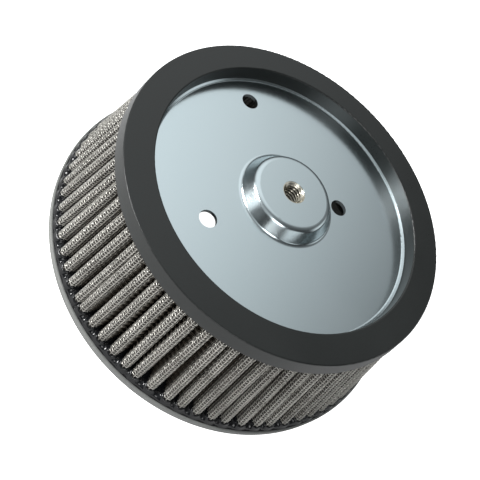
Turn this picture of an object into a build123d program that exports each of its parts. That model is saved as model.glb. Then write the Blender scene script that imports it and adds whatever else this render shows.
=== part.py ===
from build123d import *
import os
from math import atan2, cos, pi, radians, sin, tan

# Round tapered air filter element with a dished top, as used behind the round cover of a
# motorcycle air cleaner.  Millimetres, +Z along the filter's axis from the open base to the
# plate, origin at the middle of the base's sealing face.  +X and +Y are set by the three
# screw holes in the plate.

os.makedirs("parts", exist_ok=True)

# ---- Overall sizes ----------------------------------------------------------------
height = 51.35              # base sealing face to top sealing face
top_radius = 65.0           # outer edge of the top sealing face
base_radius = 76.2          # outside of the base flange

# ---- Top seal ring ----------------------------------------------------------------
band_height = 5.7           # how far the ring's outer band comes down over the pleats
band_flare = 1.0            # how much wider the band is at its lower edge
top_edge_radius = 0.5       # rounding round the top sealing face
roof_thickness = 2.6        # rubber above the ends of the pleats
inner_lip_wall = 0.8        # least rubber between the recess and the inside of the pleats

# ---- Base seal ring ---------------------------------------------------------------
rim_height = 3.2            # outer rim of the base channel
rim_wall = 0.9
base_floor = 1.6            # rubber under the pleats
dam_height = 5.4            # inner wall of the base channel
dam_wall = 1.3
dam_gap = 2.1               # resin between the inner wall and the pleats
base_edge_radius = 0.4
seal_groove_width = 3.0     # relief groove between the two sealing lands
seal_groove_depth = 0.5

# ---- Pleated media ----------------------------------------------------------------
pleat_pitch = 5.32          # spacing of the pleats round the top of the pack
pleat_depth = 9.0           # from the outside to the inside of the pack
mesh_thickness = 0.35       # woven wire screen, inside and outside
gauze_thickness = 0.18      # one layer of cotton gauze
gauze_layers = 4
fold_radius = 0.2           # tightest inside radius of a fold
tip_skin = 0.65             # ring's flat face edge to the pleat tips, at the pack's top
tip_gap = 0.2               # resin between a pleat tip and the rubber beside it
end_gap = 0.4               # resin between the pack's ends and the rubber
seam_angle = 197.95         # where the two ends of the media meet
seam_pair_gap = 0.08        # gap between the two crowded pleats at the seam
pitch_wander = 0.07         # unevenness of the pleat spacing, as a share of a pitch
pleat_lean = 0.05           # how far a pleat leans from base to top, as a share of a pitch
clip_thickness = 0.25       # folded strip that closes the seam
clip_leg = 2.6

# ---- Mounting plate ---------------------------------------------------------------
plate_thickness = 1.5
plate_drop = 7.0            # top sealing face down to the plate's flat
lip_rise = 0.8              # step up at the plate's edge
lip_width = 0.8
lip_bend_radius = 0.7
plate_grip = 1.64           # how far the plate's edge is held in the ring
plate_edge_gap = 0.35       # resin between the plate's edge and the pleats
boss_height = 5.6           # plate's flat up to the boss's flat top
boss_base_radius = 19.0
boss_shoulder_radius = 15.4
boss_top_bend = 2.6
boss_foot_bend = 1.6
screw_hole_radius = 3.4     # clearance for a 1/4 in screw
screw_hole_inset = 10.5     # recess wall to the hole nearest the edge
screw_hole_angles = (95.3, 193.8, -6.9)
screw_hole_spread = 7.96    # how much nearer the axis the second hole is
screw_hole_clearance = 1.37 # boss to the edge of the third hole

# ---- Threaded insert --------------------------------------------------------------
thread_minor_radius = 3.33  # 5/16-18 UNC
thread_major_radius = 3.97
insert_neck_radius = 4.65   # part pressed through the plate
insert_body_radius = 6.5
insert_body_length = 7.0
insert_recess = 0.15        # neck's end below the boss's top
insert_mouth_lead = 0.26    # countersink beyond the thread, at the mouth

# ---- Bonding resin ----------------------------------------------------------------
resin_climb = 4.2           # height of the resin round the base of the pleats
resin_slope = 1.4           # how far out its free surface falls to the rim
resin_rim_drop = 0.15       # resin below the rim's top edge
resin_dam_drop = 0.6        # resin below the inner wall's top
under_plate_fillet = 1.8    # resin below the plate's edge
under_plate_inset = 0.02    # end of the plate's held flat to the resin below it

# ---- Sizes that follow from the ones above ----------------------------------------
media_thickness = 2 * mesh_thickness + gauze_layers * gauze_thickness
outer_fold = fold_radius + media_thickness      # outside radius of every fold

roof_level = height - roof_thickness
band_level = height - band_height
pack_top = roof_level - end_gap
pack_base = base_floor + end_gap
tip_radius_top = top_radius - tip_skin
tip_radius_base = base_radius - rim_wall - tip_gap
pleat_count = round(2 * pi * tip_radius_top / pleat_pitch)

plate_level = height - plate_drop               # upper side of the plate's flat
lip_level = plate_level + lip_rise              # upper side of the plate's edge
boss_level = plate_level + boss_height


def tip_radius(level):
    """Radius of the pleat tips at a height, along their straight taper."""
    share = (level - pack_base) / (pack_top - pack_base)
    return tip_radius_base + (tip_radius_top - tip_radius_base) * share


def pack_inside(level):
    """Radius inside the pleats at a height."""
    return tip_radius(level) - pleat_depth


# The recess clears the pleats' inside where the plate is held and at the ring's roof.
recess_radius = min(
    pack_inside(lip_level) - plate_edge_gap - plate_grip,
    pack_inside(roof_level) - plate_edge_gap - inner_lip_wall,
)
plate_edge = recess_radius + plate_grip

# Below the plate, its held flat ends where the underside of the lip bends down.
lip_angle = atan2(lip_rise, lip_width)
held_flat = plate_grip - plate_thickness * tan(lip_angle / 2)
base_opening = pack_inside(pack_base) - dam_gap - dam_wall

# Each screw hole keeps its distance from the recess wall or from the boss.
screw_hole_distances = (
    recess_radius - screw_hole_inset,
    recess_radius - screw_hole_inset - screw_hole_spread,
    boss_base_radius + screw_hole_clearance + screw_hole_radius,
)


# ---- Pleated sleeves --------------------------------------------------------------
def pleat_angles(lean):
    """Tip angle of each pleat, starting just past the seam's crowded pair."""
    pair = (2 * outer_fold + seam_pair_gap) / (tip_radius_top - outer_fold)
    pitch = (2 * pi - pair) / (pleat_count - 1)
    start = radians(seam_angle) + pair / 2
    angles = []
    for i in range(pleat_count):
        # The unevenness dies away at the seam, where the crowded pair has no room for it.
        calm = min(1.0, 0.25 * i, 0.25 * (pleat_count - 1 - i))
        wander = sin(2.1 * i) + 0.8 * sin(0.83 * i + 1.0)
        shift = calm * pitch * (pitch_wander * wander + lean * sin(1.37 * i + 0.4))
        angles.append(start + i * pitch + shift)
    return angles


def at(radius, angle):
    """Point in the XY plane from its radius and its angle."""
    return Vector(radius * cos(angle), radius * sin(angle))


def leg(tip_centre, fold_centre, tip_arc, fold_arc, side):
    """Ends of the straight leg that touches a tip's arc and an inner fold's arc."""
    inward = fold_centre - tip_centre
    along = inward / inward.length
    across = Vector(-along.Y, along.X) * side
    tilt = (tip_arc + fold_arc) / inward.length
    normal = along * tilt + across * (1 - tilt * tilt) ** 0.5
    return tip_centre + normal * tip_arc, fold_centre - normal * fold_arc


def arc_centres(level, lean):
    """Centres of the tip arcs and of the inner fold arc that follows each tip."""
    tips = pleat_angles(lean)
    following = tips[1:] + [tips[0] + 2 * pi]
    folds = [(here + there) / 2 for here, there in zip(tips, following)]
    tip_centres = [at(tip_radius(level) - outer_fold, angle) for angle in tips]
    fold_centres = [at(pack_inside(level) + outer_fold, angle) for angle in folds]
    return tip_centres, fold_centres


def pleat_outline(level, depth_in_media, lean):
    """Closed wire round all the pleats, some way in from the media's outer face."""
    tip_arc = outer_fold - depth_in_media
    fold_arc = fold_radius + depth_in_media
    tip_centres, fold_centres = arc_centres(level, lean)
    edges = []
    for i, (tip, fold) in enumerate(zip(tip_centres, fold_centres)):
        following = tip_centres[(i + 1) % pleat_count]
        arrive, _ = leg(tip, fold_centres[i - 1], tip_arc, fold_arc, 1)
        depart, down = leg(tip, fold, tip_arc, fold_arc, -1)
        up, climb = reversed(leg(following, fold, tip_arc, fold_arc, 1))
        over = tip + tip / tip.length * tip_arc
        under = fold - fold / fold.length * fold_arc
        edges.append(ThreePointArc(arrive, over, depart))
        edges.append(Line(depart, down))
        edges.append(ThreePointArc(down, under, up))
        edges.append(Line(up, climb))
    return Wire(edges).moved(Location((0, 0, level)))


def pleated_surface(depth_in_media):
    """Lower outline, upper outline and the ruled faces between them."""
    lower = pleat_outline(pack_base, depth_in_media, -pleat_lean)
    upper = pleat_outline(pack_top, depth_in_media, pleat_lean)
    ruled = Solid.make_loft([lower, upper], ruled=True)
    sides = [face for face in ruled.faces() if abs(face.normal_at().Z) < 0.9]
    return lower, upper, sides


def pleated_sleeve(outer, inner):
    """Closed solid between two pleated surfaces, one inside the other."""
    caps = [Face(outer[0], [inner[0]]), Face(outer[1], [inner[1]])]
    return Solid(Shell(outer[2] + inner[2] + caps))


layer_depths = [0, mesh_thickness]
for layer in range(gauze_layers):
    layer_depths.append(layer_depths[-1] + gauze_thickness)
layer_depths.append(media_thickness)
surfaces = [pleated_surface(depth) for depth in layer_depths]

layer_names = ["outer_wire_mesh"]
layer_names += [f"cotton_gauze_layer_{number + 1}" for number in range(gauze_layers)]
layer_names.append("inner_wire_mesh")

for layer_name, outer, inner in zip(layer_names, surfaces, surfaces[1:]):
    with BuildPart() as media_layer:
        add(pleated_sleeve(outer, inner))
    media_layer.part.label = layer_name
    export_step(media_layer.part, f"parts/{layer_name}.step")

# The whole pack as one solid, to cut the resin round it.
pleat_pack = pleated_sleeve(surfaces[0], surfaces[-1])


# ---- Clip that closes the seam ----------------------------------------------------
def clip_side(level, lean, out_from_fold):
    """Leg end, bend, crest, bend and leg end of one face of the folded strip."""
    tip_centres, fold_centres = arc_centres(level, lean)
    fold = fold_centres[-1]
    tip_arc = fold_radius - out_from_fold
    fold_arc = outer_fold + out_from_fold
    first_far, first = leg(tip_centres[-1], fold, tip_arc, fold_arc, -1)
    last_far, last = leg(tip_centres[0], fold, tip_arc, fold_arc, 1)
    first_end = first + (first_far - first).normalized() * clip_leg
    last_end = last + (last_far - last).normalized() * clip_leg
    crest = fold - fold / fold.length * fold_arc
    return first_end, first, crest, last, last_end


with BuildPart() as pleat_seam_clip:
    for level, lean in ((pack_base, -pleat_lean), (pack_top, pleat_lean)):
        near = clip_side(level, lean, 0)
        far = clip_side(level, lean, clip_thickness)
        with BuildSketch(Plane.XY.offset(level)):
            with BuildLine():
                Line(near[0], near[1])
                ThreePointArc(near[1], near[2], near[3])
                Line(near[3], near[4])
                Line(near[4], far[4])
                Line(far[4], far[3])
                ThreePointArc(far[3], far[2], far[1])
                Line(far[1], far[0])
                Line(far[0], near[0])
            make_face()
    loft(ruled=True)
pleat_seam_clip.part.label = "pleat_seam_clip"
export_step(pleat_seam_clip.part, "parts/pleat_seam_clip.step")


# ---- Top seal ring: a moulded channel, open downwards, over the pack and the plate ----
with BuildPart() as top_seal_ring:
    with BuildSketch(Plane.XZ):
        with BuildLine():
            Polyline(
                (recess_radius, lip_level),
                (recess_radius, height),
                (top_radius, height),
                (top_radius + band_flare, band_level),
                (tip_radius(band_level) + tip_gap, band_level),
                (tip_radius(roof_level) + tip_gap, roof_level),
                (pack_inside(roof_level) - plate_edge_gap, roof_level),
                (plate_edge, lip_level),
                close=True,
            )
        make_face()
    revolve(axis=Axis.Z)
    fillet(top_seal_ring.edges().group_by(Axis.Z)[-1], top_edge_radius)
top_seal_ring.part.label = "top_seal_ring"
export_step(top_seal_ring.part, "parts/top_seal_ring.step")


# ---- Mounting plate: a stamped disc with a raised boss and a stepped edge ---------
with BuildPart() as mounting_plate:
    with BuildSketch(Plane.XZ):
        with BuildLine() as plate_surface:
            Polyline(
                (insert_neck_radius, boss_level),
                (boss_shoulder_radius, boss_level),
                (boss_base_radius, plate_level),
                (recess_radius - lip_width, plate_level),
                (recess_radius, lip_level),
                (plate_edge, lip_level),
            )
            corners = plate_surface.vertices().sort_by(Axis.X)
            fillet(corners[1], boss_top_bend)
            corners = plate_surface.vertices().sort_by(Axis.X)
            fillet(corners[3], boss_foot_bend)
            fillet(plate_surface.vertices().sort_by(Axis.X)[-3], lip_bend_radius)
            offset(amount=plate_thickness, side=Side.RIGHT)
        make_face()
    revolve(axis=Axis.Z)
    for distance, angle in zip(screw_hole_distances, screw_hole_angles):
        with Locations(at(distance, radians(angle)) + (0, 0, plate_level)):
            Hole(screw_hole_radius)
mounting_plate.part.label = "mounting_plate"
export_step(mounting_plate.part, "parts/mounting_plate.step")


# ---- Threaded insert: pressed through the boss from below -------------------------
neck_top = boss_level - insert_recess
body_top = boss_level - plate_thickness
body_base = body_top - insert_body_length
mouth_radius = thread_major_radius + insert_mouth_lead
mouth_depth = mouth_radius - thread_minor_radius
tail_chamfer = thread_major_radius - thread_minor_radius
with BuildPart() as threaded_insert:
    with BuildSketch(Plane.XZ):
        with BuildLine():
            Polyline(
                (mouth_radius, neck_top),
                (insert_neck_radius, neck_top),
                (insert_neck_radius, body_top),
                (insert_body_radius, body_top),
                (insert_body_radius, body_base),
                (thread_major_radius, body_base),
                (thread_minor_radius, body_base + tail_chamfer),
                (thread_minor_radius, neck_top - mouth_depth),
                close=True,
            )
        make_face()
    revolve(axis=Axis.Z)
threaded_insert.part.label = "threaded_insert"
export_step(threaded_insert.part, "parts/threaded_insert.step")


# ---- Top bonding resin: fills the channel, holds the pack and the plate's edge ----
fillet_level = lip_level - plate_thickness - under_plate_fillet
resin_step = pack_inside(band_level) + outer_fold
with BuildPart() as top_bonding_resin:
    with BuildSketch(Plane.XZ):
        with BuildLine():
            Polyline(
                (tip_radius(band_level) + tip_gap, band_level),
                (tip_radius(roof_level) + tip_gap, roof_level),
                (pack_inside(roof_level) - plate_edge_gap, roof_level),
                (plate_edge, lip_level),
                (plate_edge, lip_level - plate_thickness),
                (plate_edge - held_flat + under_plate_inset, lip_level - plate_thickness),
                (plate_edge, fillet_level),
                (resin_step, fillet_level),
                (resin_step, band_level),
                close=True,
            )
        make_face()
    revolve(axis=Axis.Z)
    add(pleat_pack, mode=Mode.SUBTRACT)
    add(pleat_seam_clip.part, mode=Mode.SUBTRACT)
top_bonding_resin.part.label = "top_bonding_resin"
export_step(top_bonding_resin.part, "parts/top_bonding_resin.step")


# ---- Base seal ring: a moulded channel, open upwards ------------------------------
dam_outside = base_opening + dam_wall
rim_inside = base_radius - rim_wall
groove_radius = (base_opening + base_radius) / 2
with BuildPart() as base_seal_ring:
    with BuildSketch(Plane.XZ):
        with BuildLine():
            Polyline(
                (base_opening, 0),
                (groove_radius - seal_groove_width / 2, 0),
                (groove_radius - seal_groove_width / 2, seal_groove_depth),
                (groove_radius + seal_groove_width / 2, seal_groove_depth),
                (groove_radius + seal_groove_width / 2, 0),
                (base_radius, 0),
                (base_radius, rim_height),
                (rim_inside, rim_height),
                (rim_inside, base_floor),
                (dam_outside, base_floor),
                (dam_outside, dam_height),
                (base_opening, dam_height),
                close=True,
            )
        make_face()
    revolve(axis=Axis.Z)
    outside_edges = base_seal_ring.edges().filter_by(GeomType.CIRCLE)
    outside_edges = outside_edges.filter_by(lambda edge: edge.radius in (base_opening, base_radius))
    fillet(outside_edges, base_edge_radius)
base_seal_ring.part.label = "base_seal_ring"
export_step(base_seal_ring.part, "parts/base_seal_ring.step")


# ---- Base bonding resin: poured into the channel round the feet of the pleats -----
resin_shoulder = tip_radius(resin_climb) - resin_slope / 2
dam_resin_level = dam_height - resin_dam_drop
with BuildPart() as base_bonding_resin:
    with BuildSketch(Plane.XZ):
        with BuildLine():
            Polyline(
                (dam_outside, base_floor),
                (rim_inside, base_floor),
                (rim_inside, rim_height - resin_rim_drop),
                (resin_shoulder, resin_climb),
                (pack_inside(resin_climb) + outer_fold, resin_climb),
                (dam_outside, dam_resin_level),
                close=True,
            )
        make_face()
    revolve(axis=Axis.Z)
    add(pleat_pack, mode=Mode.SUBTRACT)
    add(pleat_seam_clip.part, mode=Mode.SUBTRACT)
base_bonding_resin.part.label = "base_bonding_resin"
export_step(base_bonding_resin.part, "parts/base_bonding_resin.step")
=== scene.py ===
"""Round tapered air filter element: pleated woven mesh and gauze between moulded rings."""

import bpy
import numpy as np
from math import atan2, cos, pi, radians, sin, tau
from mathutils import Matrix, Vector


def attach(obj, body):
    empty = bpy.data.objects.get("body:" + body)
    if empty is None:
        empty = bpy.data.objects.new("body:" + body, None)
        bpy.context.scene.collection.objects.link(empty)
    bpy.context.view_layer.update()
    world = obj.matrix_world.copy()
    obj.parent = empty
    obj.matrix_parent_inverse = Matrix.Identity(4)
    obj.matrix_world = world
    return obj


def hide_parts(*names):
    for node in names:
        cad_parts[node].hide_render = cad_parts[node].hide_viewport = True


MM = 0.001

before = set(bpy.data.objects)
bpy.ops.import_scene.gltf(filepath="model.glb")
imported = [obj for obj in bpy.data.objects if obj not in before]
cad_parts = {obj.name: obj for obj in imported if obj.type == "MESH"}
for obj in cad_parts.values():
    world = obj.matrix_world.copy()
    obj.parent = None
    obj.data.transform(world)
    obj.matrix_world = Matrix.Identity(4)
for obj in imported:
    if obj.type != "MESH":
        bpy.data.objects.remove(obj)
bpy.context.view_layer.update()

# ---- Sizes in millimetres, the same as the CAD model's ------------------------------
RIM_INSIDE = 75.3
PACK_BASE = 2.0
PACK_TOP = 48.35
TIP_RADIUS_BASE = 75.1
TIP_RADIUS_TOP = 64.35
PLEAT_DEPTH = 9.0
PLEAT_COUNT = 76
FOLD_RADIUS = 0.2
MEDIA_THICKNESS = 1.42
OUTER_FOLD = FOLD_RADIUS + MEDIA_THICKNESS
SEAM_ANGLE = 197.95
SEAM_PAIR_GAP = 0.08
PITCH_WANDER = 0.07
PLEAT_LEAN = 0.05

# ---- Points round the arcs of the bent sheet --------------------------------------------
FOLD_POINTS = 7
TIP_POINTS = 17

# ---- The threaded insert, 5/16-18 -----------------------------------------------------
THREAD_MINOR = 3.33
THREAD_MAJOR = 3.97
THREAD_PITCH = 25.4 / 18
INSERT_MOUTH = 4.23
INSERT_NECK = 4.65
INSERT_BODY = 6.5
INSERT_BASE = 41.45
INSERT_SHOULDER = 48.45
INSERT_TOP = 49.8
INSERT_SIDES = 72
THREAD_STEPS = 60
FLAT_CREST = 0.25        # share of half a pitch that is the thread's flat crest
THREAD_FLANK = 0.625     # share of half a pitch that is its sloping flank
SHARP_EDGE = 25.0        # degrees between faces past which an edge stays sharp

# ---- The resin's free surface round the feet of the pleats ----------------------------
RESIN_RIM_LEVEL = 3.08
RESIN_RISE = 1.4
RESIN_RUN = 1.97
RESIN_OUTLINE_LEVEL = 4.3
MENISCUS_HEIGHT = 1.35
MENISCUS_REACH = 0.55
RESIN_TUCK = 0.25        # how far the skin starts inside the mesh
RESIN_SKIN = 0.3
RESIN_ACROSS = 49        # points across one pleat
RESIN_OUT = 11           # points from the pleat out to the rim
RESIN_CROWDING = 1.5     # power that crowds them towards the pleat
FOOT_POINTS = 97

# ---- The woven wire -------------------------------------------------------------------
WIRES_PER_PLEAT = 14
WIRE_RADIUS = 0.165
WIRE_WAVE = 0.19
WIRE_SPACING = 1.24      # across a pleat, before the sheet is bent
WIRE_SIDES = 4
WEAVE_BASE = 3.4
WEAVE_TOP = 46.6
WEAVE_ROWS = 34
OUTER_WEAVE_DEPTH = 0.0  # below the outside of the media
INNER_WEAVE_DEPTH = 1.25
OUTER_SECTORS = 8        # meshes that each screen is split into
INNER_SECTORS = 5
WELD_REACH = 0.01
SEAM_REACH = 0.02        # weld between the wires of neighbouring pleats

# ---- Shading ----------------------------------------------------------------------------
GRAIN_SHARE = 0.35       # how much the fine grain adds to the broad clouds
DARK_BELOW = 0.45        # cloud and grain together, where the dark colour is full
LIGHT_ABOVE = 0.9
FOLD_SHADE_STARTS = 1.4        # depth below the pleats' tips where the painted shade begins
FOLD_SHADE_FULL = 4.8
FOLD_SHADE_UNEVEN = 1.6
FOLD_SHADE_SCALE = 160.0

# ---- The camera -----------------------------------------------------------------------
LENS = 50.643
SENSOR_WIDTH = 36.0
NEAREST_SEEN = 10.0
CAMERA_PLACE = (-142.50, -102.18, 222.84)
CAMERA_RIGHT = (0.85834, -0.22198, 0.46258)
CAMERA_UP = (0.0, 0.90157, 0.43264)

# ---- The studio, in metres and watts ----------------------------------------------------
FLOOR_SIZE = 6.0
FLOOR_DROP = 0.0002
FLOOR_GLOW = 0.08        # strength that lights the filter from below
FLOOR_SEEN = 1.2         # strength that the camera sees
LIGHTS_AIM = (0, 0, 0.03)
# Name, place, width, power.
LIGHTS = (
    ("key", (-0.75, 0.35, 0.50), 0.34, 11.0),
    ("fill", (-0.35, -0.65, 0.50), 0.40, 2.0),
)
SKY_LOW = 0.08
SKY_HIGH = 0.25
SKY_COLOUR = (0.95, 0.985, 1.0, 1.0)
# Azimuth, elevation, half width, softness of the edge, brightness.
SKY_PATCHES = (
    (300.0, 18.0, 42.0, 22.0, 0.06),
    (215.0, 42.0, 20.0, 8.0, 0.50),
    (345.0, 14.0, 14.0, 8.0, 0.90),
    (85.0, 50.0, 32.0, 13.5, 1.16),
    (146.0, 6.0, 11.0, 4.0, 0.03),
    (226.0, 5.0, 25.0, 5.0, 0.02),
    (176.0, 10.0, 8.0, 3.0, 1.5),
    (284.0, 7.0, 17.0, 7.0, 0.95),
)


# ---- Small helpers --------------------------------------------------------------------
def deselect():
    """Nothing selected, so an operator acts only on what is picked next."""
    bpy.ops.object.select_all(action="DESELECT")


def pick(obj):
    """Selects one object and makes it the active one."""
    deselect()
    obj.select_set(True)
    bpy.context.view_layer.objects.active = obj


def settle(obj, name):
    """Names a finished piece and moves its place and turn into its mesh."""
    pick(obj)
    bpy.ops.object.transform_apply(location=True, rotation=True, scale=True)
    obj.name = name
    obj.data.name = name
    return obj


def apply_modifiers(obj):
    """Makes every modifier part of the mesh."""
    pick(obj)
    for modifier in list(obj.modifiers):
        bpy.ops.object.modifier_apply(modifier=modifier.name)


def dress(obj, material):
    """Gives a piece one material all over."""
    obj.data.materials.clear()
    obj.data.materials.append(material)


def finish_piece(obj, material, slot, *nodes):
    """Material and body of a new piece that stands for CAD nodes; the slot is not used."""
    dress(obj, material)
    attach(obj, "root")
    if nodes:
        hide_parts(*nodes)


# ---- Camera -----------------------------------------------------------------------------
def add_camera():
    """Short telephoto lens from above, rolled so that the filter leans to the right."""
    bpy.ops.object.camera_add()
    camera = bpy.context.object
    camera.name = "camera"
    camera.data.lens = LENS
    camera.data.sensor_width = SENSOR_WIDTH
    camera.data.clip_start = NEAREST_SEEN * MM
    right = Vector(CAMERA_RIGHT)
    up = Vector(CAMERA_UP)
    turn = Matrix((right, up, right.cross(up))).transposed().to_4x4()
    camera.matrix_world = Matrix.Translation(Vector(CAMERA_PLACE) * MM) @ turn
    bpy.context.scene.camera = camera


# ---- Shading --------------------------------------------------------------------------------
def node_tree(name):
    """New material with its Principled shader and a place to add nodes."""
    material = bpy.data.materials.new(name)
    material.use_nodes = True
    nodes = material.node_tree.nodes
    shader = nodes["Principled BSDF"]
    return material, nodes, material.node_tree.links, shader


def new_group(name, inputs, outputs):
    """Empty node group with float or colour sockets, given as (name, kind, value)."""
    group = bpy.data.node_groups.new(name, "ShaderNodeTree")
    for label, kind, value in inputs:
        socket = group.interface.new_socket(name=label, in_out="INPUT", socket_type=kind)
        socket.default_value = value
    for label, kind in outputs:
        group.interface.new_socket(name=label, in_out="OUTPUT", socket_type=kind)
    start = group.nodes.new("NodeGroupInput")
    end = group.nodes.new("NodeGroupOutput")
    return group, start, end


def noise(nodes, links, vector, scale, detail):
    """Noise texture on given coordinates."""
    texture = nodes.new("ShaderNodeTexNoise")
    texture.inputs["Scale"].default_value = scale
    texture.inputs["Detail"].default_value = detail
    texture.inputs["Roughness"].default_value = 0.55
    links.new(vector, texture.inputs["Vector"])
    return texture


def spread(nodes, links, value, low_in, high_in, low_out, high_out):
    """Maps a value from one range to another, clamped."""
    node = nodes.new("ShaderNodeMapRange")
    node.inputs["From Min"].default_value = low_in
    node.inputs["From Max"].default_value = high_in
    node.inputs["To Min"].default_value = low_out
    node.inputs["To Max"].default_value = high_out
    links.new(value, node.inputs["Value"])
    return node.outputs["Result"]


def build_mottle_group():
    """Uneven colour and gloss: broad clouds with fine grain over them."""
    group, start, end = new_group(
        "surface mottle",
        [("Cloud Scale", "NodeSocketFloat", 30.0), ("Grain Scale", "NodeSocketFloat", 900.0),
         ("Light", "NodeSocketColor", (0.5, 0.5, 0.5, 1.0)),
         ("Dark", "NodeSocketColor", (0.4, 0.4, 0.4, 1.0)),
         ("Smooth", "NodeSocketFloat", 0.3), ("Rough", "NodeSocketFloat", 0.5)],
        [("Color", "NodeSocketColor"), ("Roughness", "NodeSocketFloat"),
         ("Grain", "NodeSocketFloat")],
    )
    nodes, links = group.nodes, group.links
    place = nodes.new("ShaderNodeTexCoord").outputs["Object"]
    cloud = noise(nodes, links, place, 30.0, 3.0)
    links.new(start.outputs["Cloud Scale"], cloud.inputs["Scale"])
    grain = noise(nodes, links, place, 900.0, 2.0)
    links.new(start.outputs["Grain Scale"], grain.inputs["Scale"])
    blend = nodes.new("ShaderNodeMath")
    blend.operation = "MULTIPLY_ADD"
    links.new(grain.outputs["Fac"], blend.inputs[0])
    blend.inputs[1].default_value = GRAIN_SHARE
    links.new(cloud.outputs["Fac"], blend.inputs[2])
    share = spread(nodes, links, blend.outputs["Value"], DARK_BELOW, LIGHT_ABOVE, 0.0, 1.0)
    mix = nodes.new("ShaderNodeMix")
    mix.data_type = "RGBA"
    links.new(share, mix.inputs["Factor"])
    links.new(start.outputs["Dark"], mix.inputs["A"])
    links.new(start.outputs["Light"], mix.inputs["B"])
    gloss = nodes.new("ShaderNodeMix")
    links.new(share, gloss.inputs["Factor"])
    links.new(start.outputs["Smooth"], gloss.inputs["A"])
    links.new(start.outputs["Rough"], gloss.inputs["B"])
    links.new(mix.outputs["Result"], end.inputs["Color"])
    links.new(gloss.outputs["Result"], end.inputs["Roughness"])
    links.new(grain.outputs["Fac"], end.inputs["Grain"])
    return group


def calculate(nodes, links, operation, first, second):
    """Result of a sum on two values or sockets."""
    node = nodes.new("ShaderNodeMath")
    node.operation = operation
    for socket, value in zip(node.inputs, (first, second)):
        if isinstance(value, float):
            socket.default_value = value
        else:
            links.new(value, socket)
    return node.outputs["Value"]


def radius_from_axis(nodes, links, parts):
    """Distance from the filter's axis, from the separated Object coordinates."""
    across = calculate(nodes, links, "MULTIPLY", parts.outputs["X"], parts.outputs["X"])
    along = calculate(nodes, links, "MULTIPLY", parts.outputs["Y"], parts.outputs["Y"])
    square = calculate(nodes, links, "ADD", across, along)
    return calculate(nodes, links, "SQRT", square, 0.0)


def build_fold_shade_group():
    """Painted shade that darkens the pleats from their tips in towards the folds."""
    group, start, end = new_group(
        "painted fold shade",
        [("Color", "NodeSocketColor", (0.5, 0.5, 0.5, 1.0)),
         ("Painted Shade", "NodeSocketColor", (0.05, 0.04, 0.03, 1.0))],
        [("Color", "NodeSocketColor")],
    )
    nodes, links = group.nodes, group.links
    place = nodes.new("ShaderNodeTexCoord").outputs["Object"]
    parts = nodes.new("ShaderNodeSeparateXYZ")
    links.new(place, parts.inputs["Vector"])
    radius = radius_from_axis(nodes, links, parts)
    tips = spread(nodes, links, parts.outputs["Z"], PACK_BASE * MM, PACK_TOP * MM,
                  TIP_RADIUS_BASE * MM, TIP_RADIUS_TOP * MM)
    depth = calculate(nodes, links, "SUBTRACT", tips, radius)
    patchy = noise(nodes, links, place, FOLD_SHADE_SCALE, 2.0).outputs["Fac"]
    uneven = calculate(nodes, links, "MULTIPLY", patchy, FOLD_SHADE_UNEVEN * MM)
    deep = calculate(nodes, links, "ADD", depth, uneven)
    # Painted shade: the colour darkens the deeper a point lies below the pleats' tips.
    unshaded = spread(nodes, links, deep, FOLD_SHADE_STARTS * MM, FOLD_SHADE_FULL * MM, 1.0, 0.0)
    mix = nodes.new("ShaderNodeMix")
    mix.data_type = "RGBA"
    links.new(unshaded, mix.inputs["Factor"])
    links.new(start.outputs["Painted Shade"], mix.inputs["A"])
    links.new(start.outputs["Color"], mix.inputs["B"])
    links.new(mix.outputs["Result"], end.inputs["Color"])
    return group


def paint_fold_shade(material, shader, fold_shade, colour):
    """Puts the painted fold shade between a material's colour and its shader."""
    nodes, links = material.node_tree.nodes, material.node_tree.links
    group = nodes.new("ShaderNodeGroup")
    group.node_tree = fold_shade
    group.inputs["Painted Shade"].default_value = colour
    links.new(shader.inputs["Base Color"].links[0].from_socket, group.inputs["Color"])
    links.new(group.outputs["Color"], shader.inputs["Base Color"])


def mottled(name, mottle, values, bump_strength, bump_distance):
    """Material with its shader, whose colour, gloss and fine relief come from the mottle group."""
    material, nodes, links, shader = node_tree(name)
    group = nodes.new("ShaderNodeGroup")
    group.node_tree = mottle
    for label, value in values.items():
        group.inputs[label].default_value = value
    links.new(group.outputs["Color"], shader.inputs["Base Color"])
    links.new(group.outputs["Roughness"], shader.inputs["Roughness"])
    bump = nodes.new("ShaderNodeBump")
    bump.inputs["Strength"].default_value = bump_strength
    bump.inputs["Distance"].default_value = bump_distance
    links.new(group.outputs["Grain"], bump.inputs["Height"])
    links.new(bump.outputs["Normal"], shader.inputs["Normal"])
    return material, shader


def paint_thread_root_shade(material, shader):
    """Painted shade in the roots of the thread, below the bright countersink."""
    nodes, links = material.node_tree.nodes, material.node_tree.links
    place = nodes.new("ShaderNodeTexCoord").outputs["Object"]
    parts = nodes.new("ShaderNodeSeparateXYZ")
    links.new(place, parts.inputs["Vector"])
    radius = radius_from_axis(nodes, links, parts)
    crest, full_depth, mouth = THREAD_MINOR * MM, THREAD_MAJOR * MM, INSERT_TOP * MM
    root = spread(nodes, links, radius, crest + 0.09 * MM, full_depth - 0.22 * MM, 0.0, 1.0)
    bore = spread(nodes, links, radius, full_depth + 0.03 * MM, full_depth + 0.08 * MM, 1.0, 0.0)
    below = spread(nodes, links, parts.outputs["Z"], mouth - 0.9 * MM, mouth - 0.7 * MM, 1.0, 0.0)
    inside = calculate(nodes, links, "MULTIPLY", root, bore)
    share = calculate(nodes, links, "MULTIPLY", inside, below)
    mix = nodes.new("ShaderNodeMix")
    mix.data_type = "RGBA"
    links.new(share, mix.inputs["Factor"])
    links.new(shader.inputs["Base Color"].links[0].from_socket, mix.inputs["A"])
    # Painted shade colour in the thread roots.
    mix.inputs["B"].default_value = (0.035, 0.032, 0.026, 1.0)
    links.new(mix.outputs["Result"], shader.inputs["Base Color"])


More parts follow.
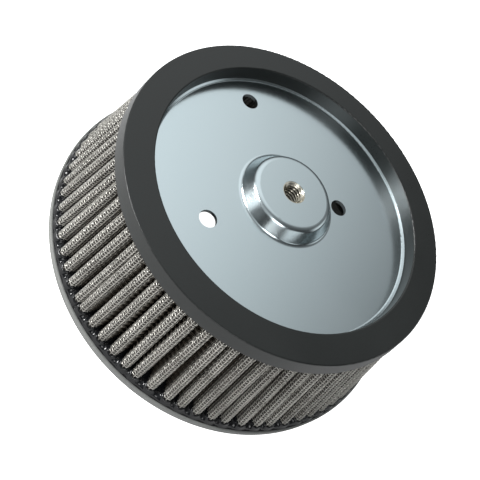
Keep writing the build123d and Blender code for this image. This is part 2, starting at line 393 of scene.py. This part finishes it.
def make_rubber(mottle):
    """Satin black of the moulded top ring."""
    material, shader = mottled(
        "moulded rubber", mottle,
        {"Cloud Scale": 22.0, "Grain Scale": 1400.0, "Light": (0.0145, 0.0165, 0.0160, 1.0),
         "Dark": (0.0090, 0.0105, 0.0100, 1.0), "Smooth": 0.27, "Rough": 0.40},
        0.25, 0.00008)
    shader.inputs["Specular IOR Level"].default_value = 0.45
    return material


def make_base_rubber(mottle):
    """Rubber of the base ring, painted paler than the top ring as painted light on its rim."""
    # Painted light: these colours make the base ring paler to stand for the light falling on its
    # rim.
    material, shader = mottled(
        "base rubber painted paler", mottle,
        {"Cloud Scale": 30.0, "Grain Scale": 1100.0, "Light": (0.22, 0.225, 0.215, 1.0),
         "Dark": (0.13, 0.134, 0.130, 1.0), "Smooth": 0.40, "Rough": 0.60},
        0.25, 0.00008)
    shader.inputs["Specular IOR Level"].default_value = 0.45
    return material


def make_resin(mottle):
    """Glossy black resin."""
    material, shader = mottled(
        "poured resin", mottle,
        {"Cloud Scale": 40.0, "Grain Scale": 300.0, "Light": (0.010, 0.011, 0.012, 1.0),
         "Dark": (0.006, 0.006, 0.007, 1.0), "Smooth": 0.05, "Rough": 0.12},
        0.08, 0.0001)
    shader.inputs["Specular IOR Level"].default_value = 0.4
    return material


def make_zinc(mottle):
    """Bluish clear zinc plate on pressed steel."""
    material, shader = mottled(
        "clear zinc plate", mottle,
        {"Cloud Scale": 18.0, "Grain Scale": 700.0, "Light": (0.60, 0.68, 0.705, 1.0),
         "Dark": (0.56, 0.645, 0.67, 1.0), "Smooth": 0.16, "Rough": 0.24},
        0.02, 0.00002)
    shader.inputs["Metallic"].default_value = 1.0
    return material


def make_yellow_zinc(mottle):
    """Yellow zinc plate of the threaded insert, with painted shade in the thread roots."""
    material, shader = mottled(
        "yellow zinc plate", mottle,
        {"Cloud Scale": 160.0, "Grain Scale": 1500.0, "Light": (0.70, 0.67, 0.585, 1.0),
         "Dark": (0.50, 0.47, 0.385, 1.0), "Smooth": 0.20, "Rough": 0.34},
        0.08, 0.00004)
    shader.inputs["Metallic"].default_value = 1.0
    paint_thread_root_shade(material, shader)
    return material


def make_wire(name, mottle):
    """Pale grey coated wire, and its shader."""
    material, shader = mottled(
        name, mottle,
        {"Cloud Scale": 120.0, "Grain Scale": 2500.0, "Light": (0.64, 0.624, 0.582, 1.0),
         "Dark": (0.40, 0.387, 0.355, 1.0), "Smooth": 0.24, "Rough": 0.38},
        0.10, 0.00003)
    shader.inputs["Metallic"].default_value = 0.8
    return material, shader


def make_outer_wire(mottle, fold_shade):
    """Wire of the outer screen, with painted shade where it runs into the folds."""
    material, shader = make_wire("coated outer wire", mottle)
    # Painted shade colour of the outer wire deep in the folds.
    paint_fold_shade(material, shader, fold_shade, (0.17, 0.145, 0.115, 1.0))
    return material


def make_gauze(mottle, fold_shade):
    """Oily, fibrous gauze, with painted shade that makes it nearly black in the folds."""
    material, shader = mottled(
        "oiled gauze", mottle,
        {"Cloud Scale": 90.0, "Grain Scale": 2200.0, "Light": (0.085, 0.074, 0.065, 1.0),
         "Dark": (0.030, 0.026, 0.023, 1.0), "Smooth": 0.75, "Rough": 0.95},
        0.5, 0.00015)
    shader.inputs["Sheen Weight"].default_value = 0.15
    # Painted shade colour of the gauze deep in the folds.
    paint_fold_shade(material, shader, fold_shade, (0.008, 0.006, 0.005, 1.0))
    return material


def build_materials():
    """Every finish on the filter, by name."""
    mottle = build_mottle_group()
    fold_shade = build_fold_shade_group()
    return {
        "rubber": make_rubber(mottle),
        "base rubber": make_base_rubber(mottle),
        "resin": make_resin(mottle),
        "zinc": make_zinc(mottle),
        "yellow": make_yellow_zinc(mottle),
        "outer wire": make_outer_wire(mottle, fold_shade),
        "inner wire": make_wire("coated inner wire", mottle)[0],
        "gauze": make_gauze(mottle, fold_shade),
    }


# ---- Pleats -------------------------------------------------------------------------------
def pleat_angles(lean):
    """Tip angle of each pleat, starting just past the seam's crowded pair."""
    pair = (2 * OUTER_FOLD + SEAM_PAIR_GAP) / (TIP_RADIUS_TOP - OUTER_FOLD)
    pitch = (tau - pair) / (PLEAT_COUNT - 1)
    start = radians(SEAM_ANGLE) + pair / 2
    angles = []
    for i in range(PLEAT_COUNT):
        # The unevenness dies away at the seam, where the crowded pair has no room for it.
        calm = min(1.0, 0.25 * i, 0.25 * (PLEAT_COUNT - 1 - i))
        wander = sin(2.1 * i) + 0.8 * sin(0.83 * i + 1.0)
        shift = calm * pitch * (PITCH_WANDER * wander + lean * sin(1.37 * i + 0.4))
        angles.append(start + i * pitch + shift)
    return angles


def at(radius, angle):
    """Point in the XY plane from its radius and its angle."""
    return np.array((radius * cos(angle), radius * sin(angle)))


def leg_normal(tip_centre, fold_centre, side):
    """Outward normal of the straight sheet between a tip's arc and a fold's arc."""
    inward = fold_centre - tip_centre
    length = np.hypot(*inward)
    along = inward / length
    across = np.array((-along[1], along[0])) * side
    tilt = (OUTER_FOLD + FOLD_RADIUS) / length
    return along * tilt + across * (1 - tilt * tilt) ** 0.5


def sweep(centre, radius, start, end, steps):
    """Points on an arc whose outward normal turns from one angle to another."""
    turn = np.linspace(start, end, steps)
    normals = np.stack((np.cos(turn), np.sin(turn)), axis=1)
    return centre + normals * radius, normals


def pleat_section(tips, i, tip_radius, depth):
    """Points and normals across one pleat, from the fold before it to the fold after."""
    tip = tips[i]
    before = tips[i - 1] - (tau if i == 0 else 0)
    after = tips[(i + 1) % PLEAT_COUNT] + (tau if i == PLEAT_COUNT - 1 else 0)
    fold_ring = tip_radius - PLEAT_DEPTH + OUTER_FOLD
    folds = ((before + tip) / 2, (tip + after) / 2)
    tip_centre = at(tip_radius - OUTER_FOLD, tip)
    centres = [at(fold_ring, fold) for fold in folds]
    leans = []
    for centre, side in zip(centres, (1, -1)):
        normal = leg_normal(tip_centre, centre, side)
        turn = atan2(normal[1], normal[0]) - tip
        leans.append(tip + (turn + pi) % tau - pi)
    tip_arc = OUTER_FOLD - depth
    fold_arc = FOLD_RADIUS + depth
    pieces = [
        sweep(centres[0], -fold_arc, folds[0], leans[0], FOLD_POINTS),
        sweep(tip_centre, tip_arc, leans[0], leans[1], TIP_POINTS),
        sweep(centres[1], -fold_arc, leans[1], folds[1], FOLD_POINTS),
    ]
    points = np.concatenate([piece[0] for piece in pieces])
    normals = np.concatenate([piece[1] for piece in pieces])
    return points, normals


class Pleats:
    """Where the pleated sheet lies, so that a flat sheet can be bent on to it."""

    def __init__(self):
        self.low_tips = pleat_angles(-PLEAT_LEAN)
        self.high_tips = pleat_angles(PLEAT_LEAN)

    def bend(self, i, depth, across, level, out):
        """Places of points given across one pleat (0 to 1), by height and by how far out."""
        low, low_normals = pleat_section(self.low_tips, i, TIP_RADIUS_BASE, depth)
        high, high_normals = pleat_section(self.high_tips, i, TIP_RADIUS_TOP, depth)
        steps = np.hypot(*np.diff((low + high) / 2, axis=0).T)
        length = np.concatenate(((0.0,), np.cumsum(steps)))
        index = np.interp(across, length / length[-1], np.arange(len(length)))
        share = (level - PACK_BASE) / (PACK_TOP - PACK_BASE)
        place = []
        for axis in (0, 1):
            grid = np.arange(len(length))
            start = np.interp(index, grid, low[:, axis])
            start += out * np.interp(index, grid, low_normals[:, axis])
            end = np.interp(index, grid, high[:, axis])
            end += out * np.interp(index, grid, high_normals[:, axis])
            place.append(start + (end - start) * share)
        place.append(level)
        return np.stack(place, axis=1)


def flat_wire(name, pitch, periods, steps, flip):
    """One wavy wire along +X: a ring pulled out step by step, then repeated."""
    bpy.ops.mesh.primitive_circle_add(vertices=WIRE_SIDES, radius=WIRE_RADIUS,
                                      rotation=(0, pi / 2, 0), location=(0, 0, WIRE_WAVE * flip))
    wire = settle(bpy.context.object, name)
    bpy.ops.object.mode_set(mode="EDIT")
    bpy.ops.mesh.select_all(action="SELECT")
    height = 1.0
    for step in range(1, steps + 1):
        following = cos(tau * step / steps)
        rise = WIRE_WAVE * flip * (following - height)
        bpy.ops.mesh.extrude_region_move(
            TRANSFORM_OT_translate={"value": (2 * pitch / steps, 0, rise)})
        height = following
    bpy.ops.mesh.select_all(action="SELECT")
    bpy.ops.mesh.flip_normals()
    bpy.ops.object.mode_set(mode="OBJECT")
    repeat = wire.modifiers.new("repeat", "ARRAY")
    repeat.count = periods
    repeat.use_relative_offset = False
    repeat.use_constant_offset = True
    repeat.constant_offset_displace = (2 * pitch, 0, 0)
    repeat.use_merge_vertices = True
    repeat.merge_threshold = 0.001
    apply_modifiers(wire)
    return wire


def cap_ends(obj):
    """Closes the open ends of every wire in a mesh."""
    pick(obj)
    bpy.ops.object.mode_set(mode="EDIT")
    bpy.ops.mesh.select_all(action="SELECT")
    bpy.ops.mesh.fill_holes(sides=WIRE_SIDES)
    bpy.ops.object.mode_set(mode="OBJECT")


def merge_ends(obj, reach):
    """Welds the wires of neighbouring pleats where their open ends meet."""
    pick(obj)
    bpy.ops.object.mode_set(mode="EDIT")
    bpy.ops.mesh.select_mode(type="VERT")
    bpy.ops.mesh.select_all(action="DESELECT")
    bpy.ops.mesh.select_non_manifold()
    bpy.ops.mesh.remove_doubles(threshold=reach)
    bpy.ops.object.mode_set(mode="OBJECT")


def copy_of(obj, name):
    """Copy of an object with its own mesh."""
    twin = obj.copy()
    twin.data = obj.data.copy()
    twin.name = name
    bpy.context.scene.collection.objects.link(twin)
    return twin


def repeat_along(obj, count, offset):
    """Repeats an object in a row."""
    row = obj.modifiers.new("row", "ARRAY")
    row.count = count
    row.use_relative_offset = False
    row.use_constant_offset = True
    row.constant_offset_displace = offset
    apply_modifiers(obj)


def join(pieces, name):
    """Joins objects into one."""
    deselect()
    for piece in pieces:
        piece.select_set(True)
    bpy.context.view_layer.objects.active = pieces[0]
    bpy.ops.object.join()
    joined = bpy.context.object
    joined.name = name
    joined.data.name = name
    return joined


def flat_weave(name, weft_steps, warp_steps):
    """Flat plain weave for one pleat: X across the pleat, Y up it, in millimetres."""
    up = (WEAVE_TOP - WEAVE_BASE) / WEAVE_ROWS
    wefts = []
    for row in (0, 1):
        flip = 1 - 2 * row
        weft = flat_wire("weft", WIRE_SPACING, WIRES_PER_PLEAT // 2, weft_steps, flip)
        weft.location.y = (row + 0.5) * up
        settle(weft, "weft")
        repeat_along(weft, WEAVE_ROWS // 2, (0, 2 * up, 0))
        wefts.append(weft)
    warps = []
    for column in (0, 1):
        flip = 2 * column - 1
        warp = flat_wire("warp", up, WEAVE_ROWS // 2, warp_steps, flip)
        warp.rotation_euler.z = pi / 2
        warp.location = (column * WIRE_SPACING, up / 2, 0)
        settle(warp, "warp")
        cap_ends(warp)
        repeat_along(warp, WIRES_PER_PLEAT // 2, (2 * WIRE_SPACING, 0, 0))
        warps.append(warp)
    return join(wefts + warps, name)


def places_of(obj):
    """Places of a mesh's points, one row each."""
    places = np.empty(len(obj.data.vertices) * 3, np.float32)
    obj.data.vertices.foreach_get("co", places)
    return places.reshape(-1, 3).astype(float)


def move_points(obj, places):
    """Puts a mesh's points where they are told, and turns millimetres into metres."""
    obj.data.vertices.foreach_set("co", (places * MM).astype(np.float32).ravel())
    obj.data.update()


def woven_screen(node, pleats, sheet, depth, sectors, material):
    """A pleated screen of real wires, in a few sectors so that each mesh stays light."""
    flat = places_of(sheet)
    across = flat[:, 0] / (WIRE_SPACING * WIRES_PER_PLEAT)
    for sector in range(sectors):
        first = PLEAT_COUNT * sector // sectors
        last = PLEAT_COUNT * (sector + 1) // sectors
        parts = []
        for i in range(first, last):
            pleat = copy_of(sheet, f"{node}_pleat")
            bent = pleats.bend(i, depth, across, WEAVE_BASE + flat[:, 1], flat[:, 2])
            move_points(pleat, bent)
            parts.append(pleat)
        screen = join(parts, f"{node}_sector_{sector + 1}")
        merge_ends(screen, SEAM_REACH * MM)
        cap_ends(screen)
        pick(screen)
        bpy.ops.object.shade_smooth()
        finish_piece(screen, material, "coated_wire", node)


def extrude_ring(rise):
    """Draws the picked ring of edges up by one step."""
    bpy.ops.mesh.extrude_region_move(TRANSFORM_OT_translate={"value": (0, 0, rise)})


def resize_ring(ratio):
    """Makes the picked ring wider or narrower about the axis."""
    bpy.ops.transform.resize(value=(ratio, ratio, 1), center_override=(0, 0, 0))


def thread_radius(turn, level):
    """Radius of the tapped wall, with its countersink at each end."""
    phase = (level / THREAD_PITCH - turn) % 1.0
    flank = abs(2 * phase - 1)
    depth = np.clip((flank - FLAT_CREST) / THREAD_FLANK, 0.0, 1.0)
    tapped = THREAD_MINOR + (THREAD_MAJOR - THREAD_MINOR) * depth
    mouth = INSERT_MOUTH - (INSERT_TOP - level)
    tail = THREAD_MAJOR - (level - INSERT_BASE)
    return max(tapped, mouth, tail)


def make_threaded_insert(material):
    """Round body and pressed neck, with a helical thread down the middle."""
    bpy.ops.mesh.primitive_circle_add(vertices=INSERT_SIDES, radius=THREAD_MINOR,
                                      location=(0, 0, INSERT_BASE))
    insert = settle(bpy.context.object, "threaded_insert_body")
    bpy.ops.object.mode_set(mode="EDIT")
    bpy.ops.mesh.select_all(action="SELECT")
    for step in range(THREAD_STEPS):
        extrude_ring((INSERT_TOP - INSERT_BASE) / THREAD_STEPS)
    outline = ((INSERT_NECK, 0), (INSERT_NECK, INSERT_SHOULDER - INSERT_TOP), (INSERT_BODY, 0),
               (INSERT_BODY, INSERT_BASE - INSERT_SHOULDER), (THREAD_MINOR, 0))
    radius = THREAD_MINOR
    for following, rise in outline:
        extrude_ring(rise)
        resize_ring(following / radius)
        radius = following
    bpy.ops.mesh.select_all(action="SELECT")
    bpy.ops.mesh.remove_doubles(threshold=0.001)
    bpy.ops.mesh.normals_make_consistent(inside=False)
    bpy.ops.object.mode_set(mode="OBJECT")
    for vertex in insert.data.vertices:
        place = vertex.co
        if np.hypot(place.x, place.y) < THREAD_MINOR + WELD_REACH:
            turn = atan2(place.y, place.x) / tau
            ratio = thread_radius(turn, place.z) / THREAD_MINOR
            place.x *= ratio
            place.y *= ratio
    insert.data.transform(Matrix.Scale(MM, 4))
    pick(insert)
    bpy.ops.object.shade_smooth_by_angle(angle=radians(SHARP_EDGE))
    finish_piece(insert, material, "yellow_zinc_steel", "threaded_insert")


def resin_level(radius, distance):
    """Height of the resin: falls to the rim, and climbs a little where it wets a pleat."""
    run = np.clip((RIM_INSIDE - radius) / RESIN_RUN, 0.0, 1.0)
    fall = RESIN_RIM_LEVEL + RESIN_RISE * (1 - (1 - run) ** 2)
    return fall + MENISCUS_HEIGHT * np.exp(-distance / MENISCUS_REACH)


def make_resin_surface(pleats, material):
    """Glossy skin of the poured resin, with a meniscus round the foot of every pleat."""
    bpy.ops.mesh.primitive_grid_add(x_subdivisions=RESIN_ACROSS - 1, y_subdivisions=RESIN_OUT - 1,
                                    size=1)
    strip = settle(bpy.context.object, "resin strip")
    flat = places_of(strip) + 0.5
    along = np.linspace(0, 1, FOOT_POINTS)
    outline = np.full(FOOT_POINTS, RESIN_OUTLINE_LEVEL)
    feet = [pleats.bend(i, 0.0, along, outline, 0.0) for i in range(PLEAT_COUNT)]
    level = np.full(len(flat), RESIN_OUTLINE_LEVEL)
    parts = []
    for i in range(PLEAT_COUNT):
        inner = pleats.bend(i, RESIN_TUCK, flat[:, 0], level, 0.0)[:, :2]
        start = np.hypot(inner[:, 0], inner[:, 1])
        ratio = (start + (RIM_INSIDE - start) * flat[:, 1] ** RESIN_CROWDING) / start
        place = inner * ratio[:, None]
        near = np.concatenate([feet[j % PLEAT_COUNT] for j in (i - 1, i, i + 1)])[:, :2]
        gap = np.hypot(*(place[:, None, :] - near[None, :, :]).transpose(2, 0, 1)).min(axis=1)
        height = resin_level(start * ratio, gap)
        piece = copy_of(strip, "resin strip")
        move_points(piece, np.column_stack((place, height)))
        parts.append(piece)
    bpy.data.objects.remove(strip)
    skin = join(parts, "base_resin_surface")
    pick(skin)
    bpy.ops.object.mode_set(mode="EDIT")
    bpy.ops.mesh.select_all(action="SELECT")
    bpy.ops.mesh.remove_doubles(threshold=WELD_REACH * MM)
    bpy.ops.object.mode_set(mode="OBJECT")
    wall = skin.modifiers.new("thickness", "SOLIDIFY")
    wall.thickness = RESIN_SKIN * MM
    wall.offset = -1
    apply_modifiers(skin)
    bpy.ops.object.shade_smooth()
    finish_piece(skin, material, "bonding_resin")


# ---- Studio -------------------------------------------------------------------------------
def add_floor():
    """Plain pale floor that glows like a light table and can be seen through from below."""
    bpy.ops.mesh.primitive_plane_add(size=FLOOR_SIZE, location=(0, 0, -FLOOR_DROP))
    floor = settle(bpy.context.object, "floor")
    material, nodes, links, shader = node_tree("light table")
    shader.inputs["Base Color"].default_value = (0.8, 0.8, 0.8, 1.0)
    shader.inputs["Roughness"].default_value = 0.9
    shader.inputs["Emission Color"].default_value = (1.0, 1.0, 1.0, 1.0)
    path = nodes.new("ShaderNodeLightPath")
    seen = path.outputs["Is Camera Ray"]
    glow = spread(nodes, links, seen, 0.0, 1.0, FLOOR_GLOW, FLOOR_SEEN)
    links.new(glow, shader.inputs["Emission Strength"])
    clear = nodes.new("ShaderNodeBsdfTransparent")
    side = nodes.new("ShaderNodeNewGeometry")
    mix = nodes.new("ShaderNodeMixShader")
    links.new(side.outputs["Backfacing"], mix.inputs["Fac"])
    links.new(shader.outputs["BSDF"], mix.inputs[1])
    links.new(clear.outputs["BSDF"], mix.inputs[2])
    links.new(mix.outputs["Shader"], nodes["Material Output"].inputs["Surface"])
    dress(floor, material)


def add_area_light(name, place, width, power):
    """Soft square light pointed at the filter."""
    bpy.ops.object.light_add(type="AREA", location=place)
    light = bpy.context.object
    light.name = name
    light.data.size = width
    light.data.energy = power
    direction = Vector(LIGHTS_AIM) - Vector(place)
    light.rotation_euler = direction.to_track_quat("-Z", "Y").to_euler()


def bearing(azimuth, elevation):
    """Direction given by its compass angle from +X and its height, in degrees."""
    level = cos(radians(elevation))
    return (level * cos(radians(azimuth)), level * sin(radians(azimuth)), sin(radians(elevation)))


def add_patch(nodes, links, sky, direction, patch):
    """Adds a soft-edged light or dark patch to the sky's brightness."""
    azimuth, elevation, half_width, edge, strength = patch
    near = nodes.new("ShaderNodeVectorMath")
    near.operation = "DOT_PRODUCT"
    links.new(direction, near.inputs[0])
    near.inputs[1].default_value = bearing(azimuth, elevation)
    outer = cos(radians(half_width + edge))
    inner = cos(radians(max(0.0, half_width - edge)))
    share = spread(nodes, links, near.outputs["Value"], outer, inner, 0.0, 1.0)
    mix = nodes.new("ShaderNodeMix")
    links.new(share, mix.inputs["Factor"])
    links.new(sky, mix.inputs["A"])
    mix.inputs["B"].default_value = strength
    return mix.outputs["Result"]


def add_lights():
    """Uneven studio sky for the metal to reflect, with a soft key and a weak fill light."""
    world = bpy.data.worlds.new("studio")
    bpy.context.scene.world = world
    world.use_nodes = True
    nodes, links = world.node_tree.nodes, world.node_tree.links
    direction = nodes.new("ShaderNodeTexCoord").outputs["Generated"]
    height = nodes.new("ShaderNodeSeparateXYZ")
    links.new(direction, height.inputs["Vector"])
    sky = spread(nodes, links, height.outputs["Z"], 0.0, 0.6, SKY_LOW, SKY_HIGH)
    for patch in SKY_PATCHES:
        sky = add_patch(nodes, links, sky, direction, patch)
    background = nodes["Background"]
    background.inputs["Color"].default_value = SKY_COLOUR
    links.new(sky, background.inputs["Strength"])
    for name, place, width, power in LIGHTS:
        add_area_light(name, place, width, power)


# ---- Scene -------------------------------------------------------------------------------------
add_camera()
finishes = build_materials()
pleats = Pleats()

outer_sheet = flat_weave("outer sheet", weft_steps=4, warp_steps=2)
woven_screen("outer_wire_mesh", pleats, outer_sheet, OUTER_WEAVE_DEPTH, OUTER_SECTORS,
             finishes["outer wire"])
inner_sheet = flat_weave("inner sheet", weft_steps=2, warp_steps=2)
woven_screen("inner_wire_mesh", pleats, inner_sheet, INNER_WEAVE_DEPTH, INNER_SECTORS,
             finishes["inner wire"])
for sheet in (outer_sheet, inner_sheet):
    bpy.data.objects.remove(sheet)

dress(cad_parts["top_seal_ring"], finishes["rubber"])
dress(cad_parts["base_seal_ring"], finishes["base rubber"])
for node in ("top_bonding_resin", "base_bonding_resin"):
    dress(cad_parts[node], finishes["resin"])
for node in ("mounting_plate", "pleat_seam_clip"):
    dress(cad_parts[node], finishes["zinc"])
make_threaded_insert(finishes["yellow"])
make_resin_surface(pleats, finishes["resin"])
for number in range(1, 5):
    dress(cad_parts[f"cotton_gauze_layer_{number}"], finishes["gauze"])

add_floor()
add_lights()
bpy.context.scene.view_settings.view_transform = "Standard"
